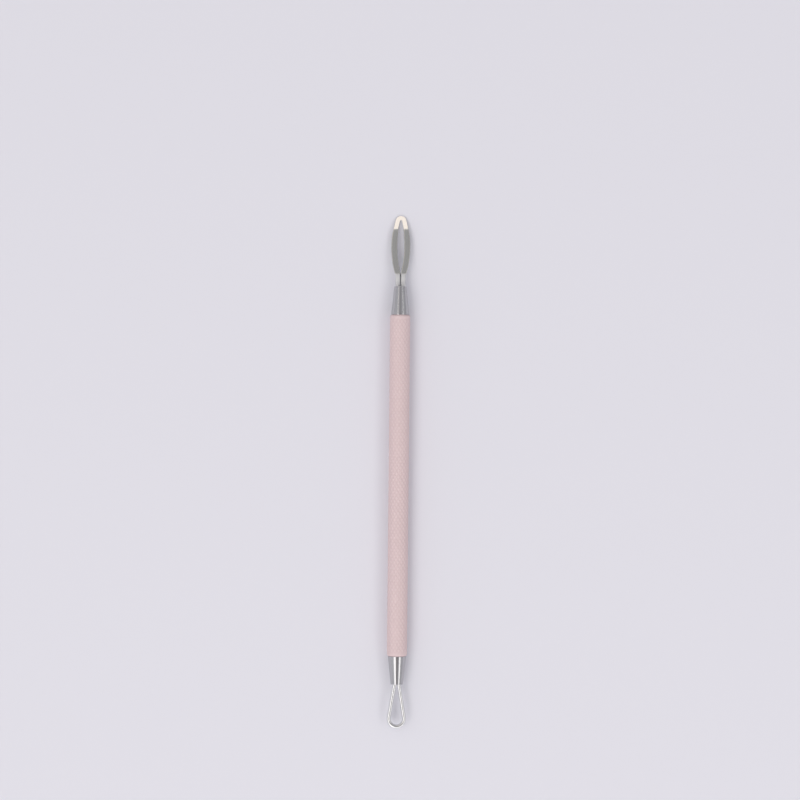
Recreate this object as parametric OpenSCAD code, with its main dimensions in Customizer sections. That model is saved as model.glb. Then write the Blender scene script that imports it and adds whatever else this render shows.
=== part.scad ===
// Double-ended skin tool: a knurled grip tube with a pointed flat loop at one
// end and a round wire loop at the other. It lies along X on the plane Z = 0,
// with the pointed loop at +X and the origin under the middle of the tool.
// Each end is a steel ferrule pressed into the tube, with the two tails of one
// bent wire brazed into its bore.

/* [Grip] */
// Length of the grip tube
handle_l = 84; // [60:1:110]
// Outside diameter of the grip tube
handle_d = 5; // [4.6:0.1:7]
// Chamfer round each end of the grip tube
handle_chamfer = 0.3; // [0.1:0.05:0.5]

/* [Ferrules] */
// Length of the bare cone of each ferrule
ferrule_l = 7; // [5:0.5:12]
// How far the base of the cone sits in from the outside of the grip
ferrule_step = 0.25; // [0.1:0.05:0.4]
// Chamfer round the base of the cone and the end of its spigot
ferrule_chamfer = 0.15; // [0.05:0.05:0.25]
// Wall left round the mouth of the cone
mouth_wall = 0.2; // [0.1:0.05:0.4]
// Length of the spigot that is pressed into the grip tube
spigot_l = 6; // [4:0.5:10]
// Wall of the spigot round the bore
spigot_wall = 0.5; // [0.3:0.05:0.6]
// Solid metal left at the end of the spigot, behind the bore
bore_floor = 3; // [1:0.5:4]

/* [Pointed loop] */
// Reach of the pointed loop beyond its ferrule, measured level
lancet_reach = 17.5; // [14:0.5:22]
// Width across the outside of the pointed loop
lancet_w = 4.7; // [4.2:0.1:5.7]
// Diameter of the wire that the loop is bent from
lancet_wire_d = 1.15; // [1:0.05:1.3]
// Width of the wire where it is pressed flat
lancet_strip_w = 1.5; // [1.3:0.02:1.6]
// Thickness of the wire where it is pressed flat
lancet_t = 0.7; // [0.4:0.05:0.75]
// Width of the wire at the tip
lancet_tip_w = 1.1; // [0.8:0.05:1.2]
// Radius inside the point of the opening
lancet_point_r = 0.24; // [0.04:0.02:0.4]
// Length beyond the ferrule where the two strands lie side by side
lancet_neck_l = 2.5; // [2:0.1:5]
// Radius of the bend that parts the strands, to the middle of the wire
lancet_flare_r = 3; // [2:0.5:6]
// Length over which the wire flattens beyond the ferrule and widens beyond the neck
press_l = 1.2; // [0.8:0.1:3]
// Straight length beyond the ferrule before the strands bend down
lancet_level_l = 2; // [1:0.1:4]
// Radius of the bend down, to the middle of the wire
lancet_bend_r = 5; // [3:0.5:8]
// Length over which the flat wire narrows towards the tip
taper_l = 5.2; // [3:0.1:8]
// Length of the bevel ground on the upper side of the tip
bevel_l = 3.5; // [2:0.1:5]
// Thickness left at the edge of the bevel
bevel_edge_t = 0.2; // [0.1:0.05:0.3]

/* [Wire loop] */
// Reach of the wire loop beyond its ferrule
wire_reach = 10.9; // [9:0.1:16]
// Width across the outside of the wire loop
wire_w = 4.8; // [4:0.1:5.5]
// Diameter of the wire
wire_d = 1; // [0.7:0.05:1.3]
// Radius of the bend that parts the strands, to the middle of the wire
wire_flare_r = 3; // [2:0.5:6]

/* [Fits] */
// Gap between the two strands of a loop where they leave the ferrule
strand_gap = 0.12; // [0.06:0.02:0.2]
// Thickness of the braze round the thicker pair of strands
braze_wall = 0.1; // [0.06:0.02:0.2]
// How far the braze stops below the mouth of the ferrule
braze_recess = 0.15; // [0.05:0.05:0.4]
// How far the ends of the strands stop short of the floor of the bore
tail_gap = 1; // [0.5:0.1:2]
// Clearance to each side between pieces that are pressed or brazed together
fit_gap = 0.02; // [0.01:0.01:0.03]

/* [Hidden] */

// Facets round a turned piece
facets = 64;
// Sides of a swept wire, and its steps along each stretch
wire_sides = 20;
neck_steps = 6;
flare_steps = 3;
bow_steps = 14;
tip_steps = 6;
end_steps = 12;

// Bore and spigot of a ferrule, and the bore of the grip tube that takes it
thick_wire_d = max(lancet_wire_d, wire_d);
bore_d = 2 * thick_wire_d + strand_gap + 2 * braze_wall;
bore_l = ferrule_l + spigot_l - bore_floor;
spigot_d = bore_d + 2 * spigot_wall;
handle_bore_d = spigot_d + 2 * fit_gap;
ferrule_base_d = handle_d - 2 * ferrule_step;
ferrule_mouth_d = bore_d + 2 * mouth_wall;
tail_l = bore_l - tail_gap;

// Places along the tool, which is centred on the origin
tool_l = wire_reach + ferrule_l + handle_l + ferrule_l + lancet_reach;
loop_mouth_x = wire_reach - tool_l / 2;
handle_x = loop_mouth_x + ferrule_l;
lancet_mouth_x = tool_l / 2 - lancet_reach;
axis_z = handle_d / 2;

// The pointed loop is laid out flat, with x measured along it from the mouth,
// and is then bent down until its tip reaches the plane that the grip lies on.
// The line under the flat is tangent to the inside of the bend, so the angle
// and the length laid out follow from the tip and the centre of the bend.
// The edge of the underside lies a little in from the tip, as the wire is round.
tip_inset = (lancet_tip_w - sqrt(lancet_tip_w ^ 2 - lancet_t ^ 2)) / 2;
under_r = lancet_bend_r - lancet_t / 2;
bend_to_tip = [lancet_reach - tip_inset - lancet_level_l, lancet_bend_r - axis_z];
lancet_tilt = asin(under_r / norm(bend_to_tip)) - atan2(bend_to_tip[1], bend_to_tip[0]);
bend_l = lancet_bend_r * lancet_tilt * PI / 180;
lancet_l = lancet_level_l + bend_l + sqrt(norm(bend_to_tip) ^ 2 - under_r ^ 2) + tip_inset;
bevel_x = lancet_l - bevel_l;
bevel_slope = (lancet_t - bevel_edge_t) / bevel_l;

// Each strand of the pointed loop flares out of the neck, bows back and closes
// on a small round tip. The bow touches the circle of the flare and that of the
// tip, and its radius and widest place follow from those two.
lancet_spread = (lancet_wire_d + strand_gap) / 2;
bow_r_mid = (lancet_w - lancet_strip_w) / 2;
tip_r = lancet_tip_w / 2 + lancet_point_r;
tip_x = lancet_l - lancet_tip_w / 2 - tip_r;
flare_rise = bow_r_mid - lancet_spread;
tip_fall = bow_r_mid - tip_r;
rise_ratio = flare_rise / tip_fall;
flare_to_tip = tip_x - lancet_neck_l;
bow_rest = flare_to_tip ^ 2 - flare_rise * (2 * lancet_flare_r - flare_rise)
           - flare_rise * (bow_r_mid + tip_r);
bow_to_tip = bow_rest / (flare_to_tip + sqrt(flare_to_tip ^ 2 + (rise_ratio - 1) * bow_rest));
bow_x = tip_x - bow_to_tip;
bow_r = (bow_to_tip ^ 2 / tip_fall + bow_r_mid + tip_r) / 2;
lancet_flare = asin((bow_x - lancet_neck_l) / (bow_r + lancet_flare_r));
lancet_close = asin(bow_to_tip / (bow_r - tip_r));

// Each strand of the wire loop flares at the mouth, runs straight and closes in
// one round end. The straight stretch touches both circles.
wire_spread = (wire_d + strand_gap) / 2;
wire_end_r = (wire_w - wire_d) / 2;
wire_end_x = wire_reach - wire_d / 2 - wire_end_r;
flare_to_end = [wire_end_x, wire_spread + wire_flare_r];
wire_flare = atan2(flare_to_end[0], flare_to_end[1])
             - acos((wire_end_r + wire_flare_r) / norm(flare_to_end));

// Places [x, y, heading] along an arc about c between two headings. A negative
// radius turns the other way, and first = 1 leaves out the place where it starts.
function arc(c, r, from, to, steps, first = 1) = [
    for (k = [first : steps])
        let (h = from + (to - from) * k / steps)
            [c[0] + r * sin(h), c[1] - r * cos(h), h]
];

// A path that ends on the middle line, carried on by its mirror image
function whole(half) = concat(half, [
    for (k = [len(half) - 2 : -1 : 0])
        [half[k][0], -half[k][1], 180 - half[k][2]]
]);

// One ring of a wire: a circle of width w at a place, square to the heading,
// pressed flat above and below to the thickness t
function ring(place, w, t) = [
    for (k = [0 : wire_sides - 1])
        let (a = 360 * k / wire_sides, out = w * cos(a) / 2, up = w * sin(a) / 2)
            [
                place[0] - out * sin(place[2]),
                place[1] + out * cos(place[2]),
                max(-t / 2, min(t / 2, up)),
            ]
];

// How far x has come from one place to the next, from 0 to 1
function progress(x, from, to) = max(0, min(1, (x - from) / (to - from)));

// The ring of the pointed loop at a place, laid out flat
function lancet_ring(place) =
    let (
        pressed = progress(place[0], 0, press_l),
        widened = progress(place[0], lancet_neck_l, lancet_neck_l + press_l),
        narrowed = progress(place[0], lancet_l - taper_l, tip_x),
        w = lancet_wire_d + (lancet_strip_w - lancet_wire_d) * widened
            + (lancet_tip_w - lancet_strip_w) * narrowed
    )
        ring(place, w, lancet_wire_d + (lancet_t - lancet_wire_d) * pressed);

// The height of the ground bevel over the middle of the flat
function bevel_z(x) = lancet_t / 2 - bevel_slope * (x - bevel_x);

// A point of the flat layout, cut by the bevel, then bent down with the loop
function bent_down(p) =
    let (
        z = p[0] > bevel_x ? min(p[2], bevel_z(p[0])) : p[2],
        turn = lancet_tilt * progress(p[0], lancet_level_l, lancet_level_l + bend_l),
        past = max(0, p[0] - lancet_level_l - bend_l),
        r = lancet_bend_r + z
    )
        [
            min(p[0], lancet_level_l) + r * sin(turn) + past * cos(turn),
            p[1],
            r * cos(turn) - lancet_bend_r - past * sin(turn),
        ];

// A round profile, drawn as radius and height, laid down along X
module turned(profile) {
    rotate([0, 90, 0])
        rotate_extrude($fn = facets)
            polygon(profile);
}

// A straight round bar that starts at the origin and runs along X
module bar(d, l) {
    rotate([0, 90, 0])
        cylinder(d = d, h = l, $fn = facets);
}

// The solid inside a row of rings, closed at both ends
module skin(rings) {
    n = wire_sides;
    last = len(rings) - 1;
    polyhedron(
        points = [for (r = rings) each r],
        faces = [
            [for (k = [0 : n - 1]) k],
            for (i = [0 : last - 1], k = [0 : n - 1])
                let (a = i * n + k, b = i * n + (k + 1) % n)
                    each [[a, a + n, b + n], [a, b + n, b]],
            [for (k = [n - 1 : -1 : 0]) last * n + k],
        ]
    );
}

// Where each end of the tool is drawn: the origin at the mouth, +X outward
module at_lancet_mouth() {
    translate([lancet_mouth_x, 0, axis_z])
        children();
}

module at_loop_mouth() {
    translate([loop_mouth_x, 0, axis_z])
        rotate([0, 0, 180])
            children();
}

module ferrule() {
    turned([
        [0, -ferrule_l - spigot_l],
        [spigot_d / 2 - ferrule_chamfer, -ferrule_l - spigot_l],
        [spigot_d / 2, -ferrule_l - spigot_l + ferrule_chamfer],
        [spigot_d / 2, -ferrule_l],
        [ferrule_base_d / 2 - ferrule_chamfer, -ferrule_l],
        [ferrule_base_d / 2, -ferrule_l + ferrule_chamfer],
        [ferrule_mouth_d / 2, 0],
        [bore_d / 2, 0],
        [bore_d / 2, -bore_l],
        [0, -bore_l],
    ]);
}

module braze(d, spread) {
    difference() {
        translate([-bore_l, 0, 0])
            bar(bore_d - 2 * fit_gap, bore_l - braze_recess);
        for (side = [-1, 1])
            translate([-tail_l - fit_gap, side * spread, 0])
                bar(d + 2 * fit_gap, bore_l);
    }
}

module handle_tube() {
    color([0.84, 0.71, 0.72])
        translate([handle_x, 0, axis_z])
            turned([
                [handle_bore_d / 2, 0],
                [handle_d / 2 - handle_chamfer, 0],
                [handle_d / 2, handle_chamfer],
                [handle_d / 2, handle_l - handle_chamfer],
                [handle_d / 2 - handle_chamfer, handle_l],
                [handle_bore_d / 2, handle_l],
            ]);
}

module lancet_ferrule() {
    color([0.72, 0.72, 0.74])
        at_lancet_mouth()
            ferrule();
}

module loop_ferrule() {
    color([0.72, 0.72, 0.74])
        at_loop_mouth()
            ferrule();
}

module lancet_loop() {
    half = concat(
        [[-tail_l, -lancet_spread, 0]],
        [for (k = [0 : neck_steps]) [lancet_neck_l * k / neck_steps, -lancet_spread, 0]],
        arc([lancet_neck_l, -lancet_spread - lancet_flare_r], -lancet_flare_r,
            0, -lancet_flare, flare_steps),
        arc([bow_x, bow_r - bow_r_mid], bow_r, -lancet_flare, lancet_close, bow_steps),
        arc([tip_x, 0], tip_r, lancet_close, 90, tip_steps)
    );
    color([0.66, 0.66, 0.67])
        at_lancet_mouth()
            skin([for (place = whole(half)) [for (p = lancet_ring(place)) bent_down(p)]]);
}

module wire_loop() {
    half = concat(
        [[-tail_l, -wire_spread, 0], [0, -wire_spread, 0]],
        arc([0, -wire_spread - wire_flare_r], -wire_flare_r, 0, -wire_flare, flare_steps),
        arc([wire_end_x, 0], wire_end_r, -wire_flare, 90, end_steps, first = 0)
    );
    color([0.8, 0.8, 0.82])
        at_loop_mouth()
            skin([for (place = whole(half)) ring(place, wire_d, wire_d)]);
}

module lancet_braze() {
    color([0.62, 0.61, 0.6])
        at_lancet_mouth()
            braze(lancet_wire_d, lancet_spread);
}

module loop_braze() {
    color([0.62, 0.61, 0.6])
        at_loop_mouth()
            braze(wire_d, wire_spread);
}

handle_tube();
lancet_ferrule();
loop_ferrule();
lancet_loop();
wire_loop();
lancet_braze();
loop_braze();
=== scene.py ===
"""Looks for a double-ended skin tool: a knurled pink grip, two steel ferrules, a pointed flat loop and a
round wire loop. It lies along X on the floor, with the pointed loop at +X, and the camera looks down."""

import math

import bpy
import numpy as np
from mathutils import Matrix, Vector


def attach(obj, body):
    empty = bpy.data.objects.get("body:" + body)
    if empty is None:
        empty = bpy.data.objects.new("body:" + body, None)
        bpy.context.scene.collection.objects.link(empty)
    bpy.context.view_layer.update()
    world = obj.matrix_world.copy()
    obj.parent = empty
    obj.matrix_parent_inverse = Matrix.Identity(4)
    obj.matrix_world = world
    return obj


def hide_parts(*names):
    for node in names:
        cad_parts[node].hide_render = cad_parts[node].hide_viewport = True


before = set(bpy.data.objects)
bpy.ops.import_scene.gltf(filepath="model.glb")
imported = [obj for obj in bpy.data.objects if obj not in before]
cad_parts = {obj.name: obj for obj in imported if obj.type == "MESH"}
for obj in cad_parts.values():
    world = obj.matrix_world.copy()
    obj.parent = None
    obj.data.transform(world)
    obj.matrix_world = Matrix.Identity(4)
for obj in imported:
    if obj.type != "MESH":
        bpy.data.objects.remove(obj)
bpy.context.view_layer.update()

# Lengths are in millimetres unless a comment says metres, and a mesh is turned into metres as it is made
MM = 0.001

# The driving sizes of the solids: the grip, the ferrules, the pointed loop, the wire loop and the fits
HANDLE_L, HANDLE_D, HANDLE_CHAMFER = 84.0, 5.0, 0.3
FERRULE_L, FERRULE_STEP, MOUTH_WALL, SPIGOT_L, SPIGOT_WALL, BORE_FLOOR = 7.0, 0.25, 0.2, 6.0, 0.5, 3.0
LANCET_REACH, LANCET_W, LANCET_WIRE_D, LANCET_STRIP_W, LANCET_T = 17.5, 4.7, 1.15, 1.5, 0.7
LANCET_TIP_W, LANCET_POINT_R, LANCET_NECK_L, LANCET_FLARE_R = 1.1, 0.24, 2.5, 3.0
PRESS_L, LEVEL_L, BEND_R, TAPER_L, BEVEL_L, BEVEL_EDGE_T = 1.2, 2.0, 5.0, 5.2, 3.5, 0.2
WIRE_REACH, WIRE_W, WIRE_D, WIRE_FLARE_R = 10.9, 4.8, 1.0, 3.0
STRAND_GAP, BRAZE_WALL, TAIL_GAP, FIT_GAP = 0.12, 0.1, 1.0, 0.02

# Bore and spigot of a ferrule, its cone, the bore of the grip, and the tails of the loops inside
BORE_D = 2 * max(LANCET_WIRE_D, WIRE_D) + STRAND_GAP + 2 * BRAZE_WALL
BORE_L = FERRULE_L + SPIGOT_L - BORE_FLOOR
SPIGOT_D = BORE_D + 2 * SPIGOT_WALL
FERRULE_BASE_D = HANDLE_D - 2 * FERRULE_STEP
FERRULE_MOUTH_D = BORE_D + 2 * MOUTH_WALL
HANDLE_BORE_D = SPIGOT_D + 2 * FIT_GAP
TAIL_L = BORE_L - TAIL_GAP

# Places along the tool, and the height of its axis
TOOL_L = WIRE_REACH + 2 * FERRULE_L + HANDLE_L + LANCET_REACH
LOOP_MOUTH_X = WIRE_REACH - TOOL_L / 2
HANDLE_X = LOOP_MOUTH_X + FERRULE_L
LANCET_MOUTH_X = TOOL_L / 2 - LANCET_REACH
AXIS_Z = HANDLE_D / 2

# The knurl: two families of helical grooves that leave raised diamonds, with a plain rim at each end
KNURL_STARTS, KNURL_PITCH, KNURL_DEPTH, KNURL_ROUNDNESS = 16, 1.5, 0.11, 2.2
RIM_L, RIM_DROP, RIM_FADE = 0.75, 0.04, 0.3

# How far the edges are rounded: the grip's ends, and the ferrule's outside, mouth and bore
GRIP_CUT, FERRULE_CUT, MOUTH_CUT, BORE_CUT = 0.12, 0.15, 0.07, 0.05

# The closed ends of a turned shape stop this far from its axis
CENTRE_R = 0.01

# Pressing spreads the neck of the pointed loop until its strands nearly touch
NECK_SPREAD = 0.08

# How sharp the shoulders of the pressed strip are at the neck, along the flats and at the polished tip
NECK_SHARPNESS, FLAT_SHARPNESS, TIP_SHARPNESS = 4, 9, 7

# How softly the bevel starts
BEVEL_BLEND = 0.025

# The flats are ground from here on. The neck before them is rougher, and its steel is painted paler as a
# painted sheen. The change takes this far to each side
GROUND_FROM, GROUND_BLEND = 3.1, 0.35

# The polish, and with it the bevel's paler, warmer colour, which is a painted highlight, sets in from this
# far before the start of the bevel to this far past it
POLISH_BEFORE, POLISH_PAST = 0.1, 0.4

# Painted shade fills the slit between the neck's strands this far from the middle, and is gone from here on
SLIT_DARK, SLIT_CLEAR = 0.08, 0.22

# How finely the meshes are divided: round a ferrule and a wire, for each pitch of the knurl, over a rounded
# edge, and along each stretch of the loops
FERRULE_SIDES, WIRE_SIDES, KNURL_STEPS, EDGE_POINTS = 128, 40, 10, 5
TAIL_STEPS, NECK_STEPS, LANCET_FLARE_STEPS, BOW_STEPS, POINT_STEPS = 6, 36, 10, 90, 24
WIRE_FLARE_STEPS, WIRE_STRAIGHT_STEPS, WIRE_END_STEPS = 14, 16, 56


# Meshes

def show(name, data):
    """An object in the scene for a mesh, a lamp or the camera"""
    ob = bpy.data.objects.new(name, data)
    bpy.context.scene.collection.objects.link(ob)
    return ob


def piece(name, points, faces, node, slot, material):
    """A smooth piece in metres that stands for one CAD node"""
    mesh = bpy.data.meshes.new(name)
    mesh.from_pydata((np.asarray(points) * MM).tolist(), [], faces)
    mesh.polygons.foreach_set("use_smooth", np.ones(len(mesh.polygons), dtype=bool))
    mesh.materials.append(material)
    mesh.validate()
    ob = show(name, mesh)
    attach(ob, "root")
    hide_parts(node)


def skin(rings, closed=False):
    """The points and faces of a skin over a row of rings, capped at both ends unless it closes on itself"""
    count, sides = rings.shape[:2]
    rows = np.arange(count if closed else count - 1)[:, None]
    cols = np.arange(sides)[None, :]
    here, there, across = rows * sides, (rows + 1) % count * sides, (cols + 1) % sides
    quads = np.stack([here + cols, here + across, there + across, there + cols], 2)
    faces = quads.reshape(-1, 4).tolist()
    if not closed:
        faces.append(list(range(sides - 1, -1, -1)))
        faces.append(list(range((count - 1) * sides, count * sides)))
    return rings.reshape(-1, 3), faces


def around(sides):
    """The angles of a ring's points"""
    return 2 * math.pi * np.arange(sides) / sides


def tool_rings(x, r, sides):
    """Rings about the tool's axis, with one x for each ring and one radius for each ring or for each point"""
    angle = around(sides)
    return np.stack([np.repeat(x[:, None], sides, 1), r * np.cos(angle), r * np.sin(angle)], 2)


def turned(profile, sides):
    """The rings of a turned shape, from a profile of (place along x, radius)"""
    x, r = np.asarray(profile, dtype=float).T
    return tool_rings(x, r[:, None], sides)


def eased(corners):
    """A profile from corners (place along x, radius, cut). Each is rounded over its cut, which is zero for a
    sharp one. A point just before and after each rounding keeps the shading of the straight parts straight"""
    out = []
    points = [np.array((x, r), dtype=float) for x, r, _ in corners]
    cuts = [cut for _, _, cut in corners]
    for k, (corner, cut) in enumerate(zip(points, cuts)):
        if not cut:
            out.append(corner)
            continue
        before, after = points[k - 1] - corner, points[k + 1] - corner
        before, after = before * cut / np.linalg.norm(before), after * cut / np.linalg.norm(after)
        start, end = corner + before, corner + after
        out.append(start + before / 2)
        for share in np.linspace(0, 1, EDGE_POINTS):
            out.append((1 - share) ** 2 * start + 2 * share * (1 - share) * corner + share ** 2 * end)
        out.append(end + after / 2)
    return out


def progress(x, start, end):
    """How far x has come from start to end, from 0 to 1"""
    return np.clip((x - start) / (end - start), 0, 1)


# The grip

def knurl_height(turns, along):
    """Height of the knurl from 0 in the grooves to 1 on the diamonds, for places counted in pitches"""
    heights = []
    for place in (turns + along, turns - along):
        off = np.abs(place - np.round(place))
        heights.append(1 - (1 - 2 * off) ** KNURL_ROUNDNESS)
    return np.minimum(*heights)


def grip_rings():
    """The grip from the mouth of its bore round the outside to the other mouth, for a skin that closes on
    itself through the bore"""
    sides = KNURL_STARTS * KNURL_STEPS
    rows = round(HANDLE_L / KNURL_PITCH) * KNURL_STEPS
    start, end = HANDLE_X, HANDLE_X + HANDLE_L
    x = start + KNURL_PITCH / KNURL_STEPS * np.arange(rows + 1)
    x = x[(x > start + HANDLE_CHAMFER) & (x < end - HANDLE_CHAMFER)]
    height = knurl_height(np.arange(sides)[None, :] / KNURL_STEPS, (x[:, None] - start) / KNURL_PITCH)
    to_end = np.minimum(x - start, end - x)
    full = progress(to_end, RIM_L, RIM_L + RIM_FADE)[:, None]
    drop = full * KNURL_DEPTH * (1 - height) + (1 - full) * RIM_DROP
    outer = tool_rings(x, HANDLE_D / 2 - drop, sides)
    rim_r, face_r, bore_r = HANDLE_D / 2 - RIM_DROP, HANDLE_D / 2 - HANDLE_CHAMFER, HANDLE_BORE_D / 2
    low = eased([(start, bore_r, 0), (start, face_r, GRIP_CUT), (start + HANDLE_CHAMFER, rim_r, 0)])
    high = eased([(end - HANDLE_CHAMFER, rim_r, 0), (end, face_r, GRIP_CUT), (end, bore_r, 0)])
    return np.concatenate([turned(low, sides), outer, turned(high, sides)])


# The ferrules

def ferrule_profile():
    """From the spigot's end, round the outside and back along the bore, with x outward from the mouth"""
    return eased([
        (-FERRULE_L - SPIGOT_L, CENTRE_R, 0),
        (-FERRULE_L - SPIGOT_L, SPIGOT_D / 2, FERRULE_CUT),
        (-FERRULE_L, SPIGOT_D / 2, 0),
        (-FERRULE_L, FERRULE_BASE_D / 2, FERRULE_CUT),
        (0, FERRULE_MOUTH_D / 2, MOUTH_CUT),
        (0, BORE_D / 2, BORE_CUT),
        (-BORE_L, BORE_D / 2, 0),
        (-BORE_L, CENTRE_R, 0),
    ])


# The loops. Places are (x, y, heading), laid out flat with x from the mouth of the ferrule

def line(start, end, steps):
    """A straight line, whose heading is left at 0"""
    share = np.linspace(0, 1, steps + 1)[:, None]
    return np.hstack([start + (np.asarray(end) - start) * share, np.zeros((steps + 1, 1))])


def arc(centre, r, start, end, steps, first=1):
    """An arc from one heading to another. It leaves out its own first place unless first is 0"""
    heading = start + (end - start) * np.arange(first, steps + 1) / steps
    return np.stack([centre[0] + r * np.sin(heading), centre[1] - r * np.cos(heading), heading], 1)


def whole(half):
    """A path that ends on the middle line, carried on by its mirror image"""
    return np.concatenate([half, half[-2::-1] * (1, -1, -1) + (0, 0, math.pi)])


def wire_rings(places, width):
    """Round rings of the given widths, square to the path"""
    angle = around(WIRE_SIDES)
    out, up = width[:, None] * np.cos(angle) / 2, width[:, None] * np.sin(angle) / 2
    x, y, heading = (places[:, k, None] for k in range(3))
    return np.stack([x - out * np.sin(heading), y + out * np.cos(heading), up], 2)


def lancet_sizes():
    """The sizes of the pointed loop that follow from the driving ones, as in the solids. It is bent down by
    the tilt that puts its tip on the floor, and its flare, bow and point are arcs that run into each other"""
    tip_inset = (LANCET_TIP_W - math.sqrt(LANCET_TIP_W ** 2 - LANCET_T ** 2)) / 2
    under_r = BEND_R - LANCET_T / 2
    to_tip = (LANCET_REACH - tip_inset - LEVEL_L, BEND_R - AXIS_Z)
    far = math.hypot(*to_tip)
    tilt = math.asin(under_r / far) - math.atan2(to_tip[1], to_tip[0])
    bend_l = BEND_R * tilt
    length = LEVEL_L + bend_l + math.sqrt(far ** 2 - under_r ** 2) + tip_inset
    spread, r_mid = (LANCET_WIRE_D + STRAND_GAP) / 2, (LANCET_W - LANCET_STRIP_W) / 2
    tip_r = LANCET_TIP_W / 2 + LANCET_POINT_R
    tip_x = length - LANCET_TIP_W / 2 - tip_r
    rise, fall, run = r_mid - spread, r_mid - tip_r, tip_x - LANCET_NECK_L
    rest = run ** 2 - rise * (2 * LANCET_FLARE_R - rise) - rise * (r_mid + tip_r)
    bow_to_tip = rest / (run + math.sqrt(run ** 2 + (rise / fall - 1) * rest))
    bow_x = tip_x - bow_to_tip
    bow_r = (bow_to_tip ** 2 / fall + r_mid + tip_r) / 2
    flare = math.asin((bow_x - LANCET_NECK_L) / (bow_r + LANCET_FLARE_R))
    close = math.asin(bow_to_tip / (bow_r - tip_r))
    return tilt, bend_l, length, spread, r_mid, tip_r, tip_x, bow_x, bow_r, flare, close


def lancet_rings():
    """The pointed loop: round wire, pressed flat and widened, narrowed to its tip, bevelled and bent down"""
    tilt, bend_l, length, spread, r_mid, tip_r, tip_x, bow_x, bow_r, flare, close = lancet_sizes()
    places = whole(np.concatenate([
        line((-TAIL_L, -spread), (0, -spread), TAIL_STEPS)[:-1],
        line((0, -spread), (LANCET_NECK_L, -spread), NECK_STEPS),
        arc((LANCET_NECK_L, -spread - LANCET_FLARE_R), -LANCET_FLARE_R, 0, -flare, LANCET_FLARE_STEPS),
        arc((bow_x, bow_r - r_mid), bow_r, -flare, close, BOW_STEPS),
        arc((tip_x, 0), tip_r, close, math.pi / 2, POINT_STEPS),
    ]))
    along = places[:, 0]
    bevel_x = length - BEVEL_L
    pressed, widened = progress(along, 0, PRESS_L), progress(along, LANCET_NECK_L, LANCET_NECK_L + PRESS_L)
    narrowed, bevelled = progress(along, length - TAPER_L, tip_x), progress(along, bevel_x, tip_x)
    width = (LANCET_WIRE_D + NECK_SPREAD * pressed
             + (LANCET_STRIP_W - LANCET_WIRE_D - NECK_SPREAD) * widened
             + (LANCET_TIP_W - LANCET_STRIP_W) * narrowed)
    x, y, z = np.moveaxis(wire_rings(places, width), 2, 0)
    pressed, widened, bevelled = pressed[:, None], widened[:, None], bevelled[:, None]
    # The flats end in rounded shoulders, softer at the neck and at the polished tip
    sharpness = (NECK_SHARPNESS + (FLAT_SHARPNESS - NECK_SHARPNESS) * widened
                 + (TIP_SHARPNESS - FLAT_SHARPNESS) * bevelled)
    up = z / (LANCET_T / 2)
    flat = LANCET_T / 2 * up / (1 + np.abs(up) ** sharpness) ** (1 / sharpness)
    z = z * (1 - pressed) + flat * pressed
    # The bevel takes off what stands above it
    ceiling = LANCET_T / 2 - (LANCET_T - BEVEL_EDGE_T) / BEVEL_L * (x - bevel_x)
    z = (z + ceiling - np.sqrt((z - ceiling) ** 2 + 4 * BEVEL_BLEND ** 2)) / 2
    # Then the loop is bent down towards its tip
    turn = tilt * progress(x, LEVEL_L, LEVEL_L + bend_l)
    past = np.maximum(0, x - LEVEL_L - bend_l)
    r = BEND_R + z
    return np.stack([
        np.minimum(x, LEVEL_L) + r * np.sin(turn) + past * np.cos(turn),
        y,
        r * np.cos(turn) - BEND_R - past * np.sin(turn),
    ], 2)


def wire_loop_rings():
    """The wire loop: two tails that flare out and run straight on to a round end"""
    spread, end_r = (WIRE_D + STRAND_GAP) / 2, (WIRE_W - WIRE_D) / 2
    end_x = WIRE_REACH - WIRE_D / 2 - end_r
    flare = (math.atan2(end_x, spread + WIRE_FLARE_R)
             - math.acos((end_r + WIRE_FLARE_R) / math.hypot(end_x, spread + WIRE_FLARE_R)))
    bend = arc((0, -spread - WIRE_FLARE_R), -WIRE_FLARE_R, 0, -flare, WIRE_FLARE_STEPS)
    end = arc((end_x, 0), end_r, -flare, math.pi / 2, WIRE_END_STEPS, first=0)
    straight = line(bend[-1, :2], end[0, :2], WIRE_STRAIGHT_STEPS)[1:-1]
    straight[:, 2] = -flare
    tail = line((-TAIL_L, -spread), (0, -spread), TAIL_STEPS)
    places = whole(np.concatenate([tail, bend, straight, end]))
    return wire_rings(places, np.full(len(places), WIRE_D))


def at_lancet_mouth(rings):
    return rings + (LANCET_MOUTH_X, 0, AXIS_Z)


def at_loop_mouth(rings):
    """Turned about, because this end points to -X"""
    return rings * (-1, -1, 1) + (LOOP_MOUTH_X, 0, AXIS_Z)


# Materials

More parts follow.
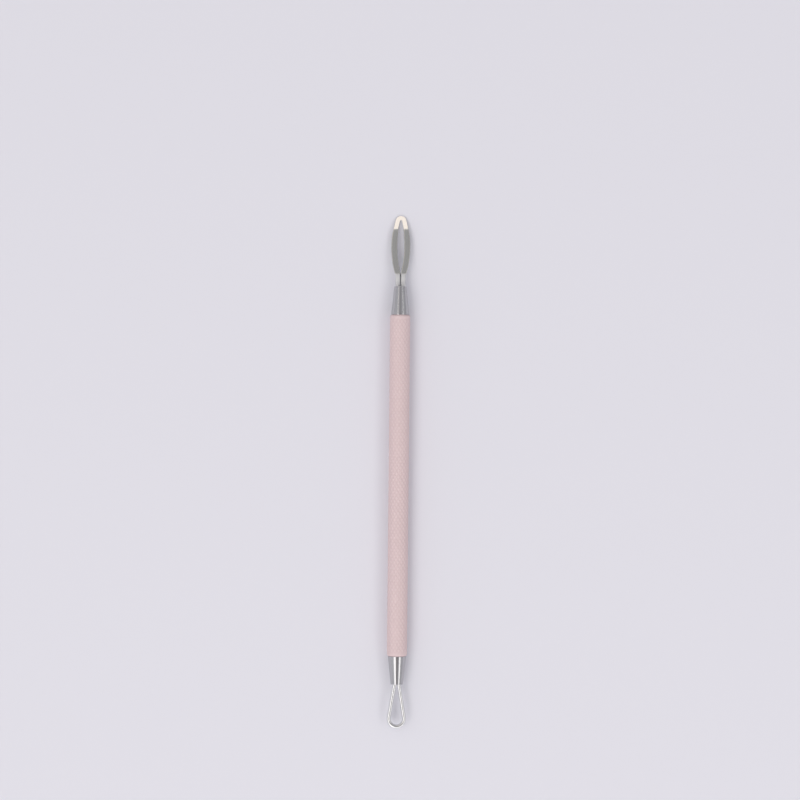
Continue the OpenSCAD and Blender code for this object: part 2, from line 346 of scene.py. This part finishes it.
class Look:
    """A Principled material with short ways to add the nodes that vary it"""

    def __init__(self, name, metallic=0.0):
        self.material = bpy.data.materials.new(name)
        self.material.use_nodes = True
        self.tree = self.material.node_tree
        self.shader = self.tree.nodes["Principled BSDF"]
        self.feed(self.shader, "Metallic", metallic)
        self.place = self.add("ShaderNodeTexCoord").outputs["Object"]

    def feed(self, node, key, value):
        """Links a node's input to another node's output, or sets it to a plain value"""
        if isinstance(value, bpy.types.NodeSocket):
            self.tree.links.new(value, node.inputs[key])
        elif node.inputs[key].type == "RGBA":
            node.inputs[key].default_value = (*value, 1)
        else:
            node.inputs[key].default_value = value

    def add(self, kind, inputs=(), **settings):
        node = self.tree.nodes.new(kind)
        for key, value in settings.items():
            setattr(node, key, value)
        for key, value in dict(inputs).items():
            self.feed(node, key, value)
        return node

    def noise(self, size, stretch=(1, 1, 1), detail=3.0):
        """Noise from 0 to 1 with a grain of about this size in millimetres, longer where stretch is more"""
        place = self.add("ShaderNodeMapping", {
            "Vector": self.place,
            "Scale": [1 / (size * MM * s) for s in stretch],
        }).outputs["Vector"]
        return self.add("ShaderNodeTexNoise", {
            "Vector": place, "Scale": 1.0, "Detail": detail,
        }).outputs["Fac"]

    def span(self, value, low, high, start=0.0, end=1.0, curve="LINEAR"):
        """Turns a value that goes from start to end into one that goes from low to high"""
        return self.add("ShaderNodeMapRange", {
            "Value": value, "From Min": start, "From Max": end, "To Min": low, "To Max": high,
        }, interpolation_type=curve).outputs["Result"]

    def fade(self, distance, low, high, start, end):
        """A span with soft ends over a distance, whose start and end are in millimetres"""
        return self.span(distance, low, high, start * MM, end * MM, "SMOOTHSTEP")

    def math(self, operation, *values):
        return self.add("ShaderNodeMath", dict(enumerate(values)), operation=operation).outputs["Value"]

    def along(self):
        """The x, y and z of a place, in metres"""
        return self.add("ShaderNodeSeparateXYZ", {"Vector": self.place}).outputs

    def mix(self, share, first, second):
        """The first colour, with this share of the second"""
        # The colours of a Mix node are its inputs 6 and 7, and its output 2
        return self.add("ShaderNodeMix", {0: share, 6: first, 7: second}, data_type="RGBA").outputs[2]

    def color(self, value):
        self.feed(self.shader, "Base Color", value)

    def roughness(self, value):
        self.feed(self.shader, "Roughness", value)

    def bump(self, *layers):
        """Bumps of the given (height, depth in millimetres) on top of one another"""
        normal = None
        for height, depth in layers:
            inputs = {"Height": height, "Strength": 1.0, "Distance": depth * MM}
            if normal:
                inputs["Normal"] = normal
            normal = self.add("ShaderNodeBump", inputs).outputs["Normal"]
        self.feed(self.shader, "Normal", normal)


def from_axis(look):
    """Distance of a place from the tool's axis, in metres"""
    _, y, z = look.along()
    up = look.math("SUBTRACT", z, AXIS_Z * MM)
    return look.math("SQRT", look.math("ADD", look.math("MULTIPLY", y, y), look.math("MULTIPLY", up, up)))


def pink_coating():
    """Paler on the diamonds than in the grooves, uneven from patch to patch, and rubbed on some diamonds"""
    in_grooves, on_diamonds = (0.66, 0.505, 0.515), (0.72, 0.575, 0.58)
    patchy, rubbed_pale = (0.74, 0.595, 0.59), (0.77, 0.665, 0.665)
    look = Look("pink_coating")
    raised = look.span(from_axis(look), 0, 1, (HANDLE_D / 2 - KNURL_DEPTH) * MM, HANDLE_D / 2 * MM)
    base = look.mix(raised, in_grooves, on_diamonds)
    patch = look.noise(6.0, stretch=(2, 1, 1), detail=2.0)
    toned = look.mix(look.span(patch, 0, 0.25), base, patchy)
    tops = look.span(raised, 0, 1, start=0.75, end=1.0)
    worn = look.span(look.noise(0.6, detail=4.0), 0, 0.5, start=0.5, end=0.75)
    look.color(look.mix(look.math("MULTIPLY", tops, worn), toned, rubbed_pale))
    look.roughness(look.span(look.noise(0.35), 0.42, 0.6))
    look.bump((look.noise(0.09, detail=2.0), 0.006))
    return look.material


def turned_steel():
    """Polished on the lathe, with faint rings and a light smear"""
    clear, smeared = (0.53, 0.525, 0.535), (0.46, 0.455, 0.47)
    look = Look("turned_steel", metallic=1.0)
    rings = look.noise(0.05, stretch=(1, 40, 40))
    smear = look.noise(1.2, stretch=(2, 1, 1))
    look.color(look.mix(look.span(smear, 0, 0.6), clear, smeared))
    look.roughness(look.math("ADD", look.span(smear, 0.14, 0.19), look.span(rings, -0.03, 0.05)))
    look.bump((rings, 0.0012), (look.noise(0.7), 0.002))
    return look.material


def ground_steel():
    """The pointed loop: a rougher neck whose steel is painted paler as a painted sheen, painted shade in the
    slit between its strands, flats with fine scratches along them, and a bevel with a smoother polish whose
    paler, warmer steel is a painted highlight"""
    flats, clouded = (0.58, 0.58, 0.555), (0.515, 0.515, 0.49)
    # The neck's paler colour is a painted sheen, the slit's dark colour is painted shade, and the bevel's
    # paler, warmer colour is a painted highlight
    painted_neck_sheen, painted_slit_shade, bevel = (0.69, 0.69, 0.695), (0.08, 0.08, 0.08), (0.78, 0.76, 0.735)
    # Against the flats, the roughness changes by this much on the bevel and on the neck
    bevel_change, neck_change = -0.06, 0.42
    look = Look("ground_steel", metallic=1.0)
    x, y, _ = look.along()
    tilt = lancet_sizes()[0]
    bevel_x = LANCET_MOUTH_X + LANCET_REACH - BEVEL_L * math.cos(tilt)
    # Where the bevel is polished smoother and painted with its paler, warmer highlight colour
    polish_and_highlight = look.fade(x, 0, 1, bevel_x - POLISH_BEFORE, bevel_x + POLISH_PAST)
    neck_end = LANCET_MOUTH_X + GROUND_FROM
    neck = look.fade(x, 1, 0, neck_end - GROUND_BLEND, neck_end + GROUND_BLEND)
    # Where the painted shade in the slit goes: along the middle of the neck, where the narrow gap between its
    # strands falls dark
    slit = look.math("MULTIPLY", neck, look.fade(look.math("ABSOLUTE", y), 1, 0, SLIT_DARK, SLIT_CLEAR))
    scratches = look.noise(0.05, stretch=(14, 1, 1))
    clouds = look.noise(1.5, stretch=(2, 1, 1))
    ground = look.mix(look.span(clouds, 0, 0.7), flats, clouded)
    # The neck's steel is painted paler here: a painted sheen on top of its real, rougher finish
    with_neck_sheen = look.mix(neck, ground, painted_neck_sheen)
    # Painted shade in the slit between the neck's strands
    with_slit_shade = look.mix(slit, with_neck_sheen, painted_slit_shade)
    # The bevel's paler, warmer colour is a painted highlight
    look.color(look.mix(polish_and_highlight, with_slit_shade, bevel))
    rough = look.math("ADD", look.span(scratches, 0.14, 0.22), look.math("MULTIPLY", polish_and_highlight, bevel_change))
    look.roughness(look.math("ADD", rough, look.math("MULTIPLY", neck, neck_change)))
    look.bump((scratches, 0.0006), (clouds, 0.001))
    return look.material


def bright_wire():
    """Drawn wire, with faint lines along it"""
    clear, clouded = (0.76, 0.76, 0.765), (0.68, 0.68, 0.69)
    look = Look("bright_wire", metallic=1.0)
    drawn = look.noise(0.06, stretch=(18, 1, 1))
    clouds = look.noise(1.0, stretch=(2, 1, 1))
    look.color(look.mix(look.span(clouds, 0, 0.6), clear, clouded))
    look.roughness(look.math("ADD", look.span(clouds, 0.1, 0.2), look.span(drawn, -0.02, 0.04)))
    look.bump((drawn, 0.0004), (clouds, 0.0006))
    return look.material


def braze():
    """Dull and lumpy filler metal"""
    clean, stained = (0.52, 0.5, 0.47), (0.36, 0.33, 0.3)
    look = Look("braze", metallic=1.0)
    lumps = look.noise(0.35, detail=4.0)
    look.color(look.mix(look.span(lumps, 0, 1, start=0.3, end=0.7), clean, stained))
    look.roughness(look.span(lumps, 0.38, 0.6))
    look.bump((lumps, 0.03))
    return look.material


def floor_paper():
    """A plain pale surface"""
    look = Look("floor_paper")
    look.color((0.755, 0.75, 0.81))
    look.roughness(0.85)
    return look.material


# The camera, the floor and the lights, in metres

# Taken from the photograph: its scale, and how the tool lies in its frame of 800 pixels
FRAME_PX, PX_PER_MM, TOOL_RIGHT_PX, TOOL_UP_PX, LEAN = 800, 4.059, -1.3, -72.0, math.radians(0.55)
# The camera's distance and the range that it sees. Its sensor's width is in millimetres
CAMERA_DISTANCE, NEAREST, FARTHEST, SENSOR = 0.7, 0.01, 10, 36.0
# The floor reaches this far from the middle on each side
FLOOR_REACH = 1.2


def camera():
    data = bpy.data.cameras.new("camera")
    data.sensor_width = SENSOR
    data.lens = SENSOR * CAMERA_DISTANCE / (FRAME_PX / PX_PER_MM * MM)
    data.clip_start, data.clip_end = NEAREST, FARTHEST
    right, up = Vector((math.sin(LEAN), -math.cos(LEAN), 0)), Vector((math.cos(LEAN), math.sin(LEAN), 0))
    over = -(right * TOOL_RIGHT_PX + up * TOOL_UP_PX) * (MM / PX_PER_MM)
    ob = show("camera", data)
    ob.location = (over.x, over.y, AXIS_Z * MM + CAMERA_DISTANCE)
    ob.rotation_euler = (0, 0, LEAN - math.pi / 2)
    bpy.context.scene.camera = ob


def floor():
    corners = [(FLOOR_REACH * x, FLOOR_REACH * y, 0) for x, y in ((-1, -1), (1, -1), (1, 1), (-1, 1))]
    mesh = bpy.data.meshes.new("floor")
    mesh.from_pydata(corners, [], [(0, 1, 2, 3)])
    mesh.materials.append(floor_paper())
    show("floor", mesh)


LAMP_DISTANCE = 2.0
# Name, direction from +X and angle from straight above in degrees, how far it is moved along X, its length
# and width, its brightness, where 1 is white paper in full light, and its colour
LAMPS = [
    ("key", 90, 28.5, -1.38, 3.4, 1.03, 1.38, (1.0, 0.97, 0.93)),
    ("fill", -90, 39.5, -0.62, 2.1, 0.62, 1.4, (1.0, 0.97, 0.93)),
    ("head", 28, 36, 0, 1.6, 0.56, 0.68, (1.0, 0.88, 0.74)),
    ("foot", 180, 50, 0, 2.5, 1.2, 1.0, (1.0, 0.98, 0.95)),
]


def lamps():
    for name, direction, off, shift, length, width, brightness, color in LAMPS:
        direction, off = math.radians(direction), math.radians(off)
        towards = Vector((
            math.sin(off) * math.cos(direction),
            math.sin(off) * math.sin(direction),
            math.cos(off),
        ))
        data = bpy.data.lights.new(name, "AREA")
        data.shape, data.size, data.size_y = "RECTANGLE", length, width
        data.energy = brightness * math.pi * length * width
        data.color = color
        ob = show(name, data)
        ob.location = towards * LAMP_DISTANCE + Vector((shift, 0, 0))
        ob.rotation_euler = (-towards).to_track_quat("-Z", "Y").to_euler()


# The sky's colour by the height of its direction, from the horizon up to its dark middle, which stands over
# the end with the wire loop
SKY_LEAN = math.radians(5)
SKY = [
    (0.0, (0.65, 0.65, 0.68)),
    (0.87, (0.61, 0.61, 0.635)),
    (0.95, (0.47, 0.46, 0.475)),
    (0.985, (0.12, 0.1, 0.09)),
]
# It is brighter towards that end and towards +Y, and dimmer towards the others, by these shares
SKY_SLOPE = (-0.25, 0.1, 0)
# The camera sees this plain colour past the floor instead
BACKDROP = (0.76, 0.755, 0.80)


def sky():
    """A graded sky that only lights the scene and shows in its gloss"""
    world = bpy.data.worlds.new("sky")
    bpy.context.scene.world = world
    world.use_nodes = True
    tree = world.node_tree
    tree.nodes.clear()
    link = tree.links.new

    def add(kind, **settings):
        node = tree.nodes.new(kind)
        for key, value in settings.items():
            setattr(node, key, value)
        return node

    def dot(direction, vector):
        node = add("ShaderNodeVectorMath", operation="DOT_PRODUCT")
        node.inputs[1].default_value = vector
        link(direction, node.inputs[0])
        return node.outputs["Value"]

    direction = add("ShaderNodeTexCoord").outputs["Generated"]
    ramp = add("ShaderNodeValToRGB")
    stops = ramp.color_ramp.elements
    # The new stops start between the first and the last, and the loop after this puts all in their places
    while len(stops) < len(SKY):
        stops.new(0.5)
    for stop, (height, color) in zip(stops, SKY):
        stop.position, stop.color = height, (*color, 1)
    link(dot(direction, (-math.sin(SKY_LEAN), 0, math.cos(SKY_LEAN))), ramp.inputs["Fac"])

    level = add("ShaderNodeMath", operation="ADD")
    level.inputs[1].default_value = 1.0
    link(dot(direction, SKY_SLOPE), level.inputs[0])

    light, shown, mix = add("ShaderNodeBackground"), add("ShaderNodeBackground"), add("ShaderNodeMixShader")
    link(ramp.outputs["Color"], light.inputs["Color"])
    link(level.outputs["Value"], light.inputs["Strength"])
    shown.inputs["Color"].default_value = (*BACKDROP, 1)
    link(add("ShaderNodeLightPath").outputs["Is Camera Ray"], mix.inputs[0])
    link(light.outputs[0], mix.inputs[1])
    link(shown.outputs[0], mix.inputs[2])
    link(mix.outputs[0], add("ShaderNodeOutputWorld").inputs["Surface"])


# The scene

steel, flat_steel, wire_steel, filler = turned_steel(), ground_steel(), bright_wire(), braze()

piece("knurled_grip", *skin(grip_rings() + (0, 0, AXIS_Z), closed=True),
      "handle_tube", "pink_coating", pink_coating())
cone = turned(ferrule_profile(), FERRULE_SIDES)
piece("pointed_end_ferrule", *skin(at_lancet_mouth(cone)), "lancet_ferrule", "polished_ferrule", steel)
piece("wire_end_ferrule", *skin(at_loop_mouth(cone)), "loop_ferrule", "polished_ferrule", steel)
piece("pointed_loop", *skin(at_lancet_mouth(lancet_rings())), "lancet_loop", "ground_steel", flat_steel)
piece("round_wire_loop", *skin(at_loop_mouth(wire_loop_rings())), "wire_loop", "bright_wire", wire_steel)
for name in ("lancet_braze", "loop_braze"):
    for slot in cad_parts[name].material_slots:
        slot.material = filler

camera()
floor()
lamps()
sky()
bpy.context.scene.view_settings.view_transform = "Standard"
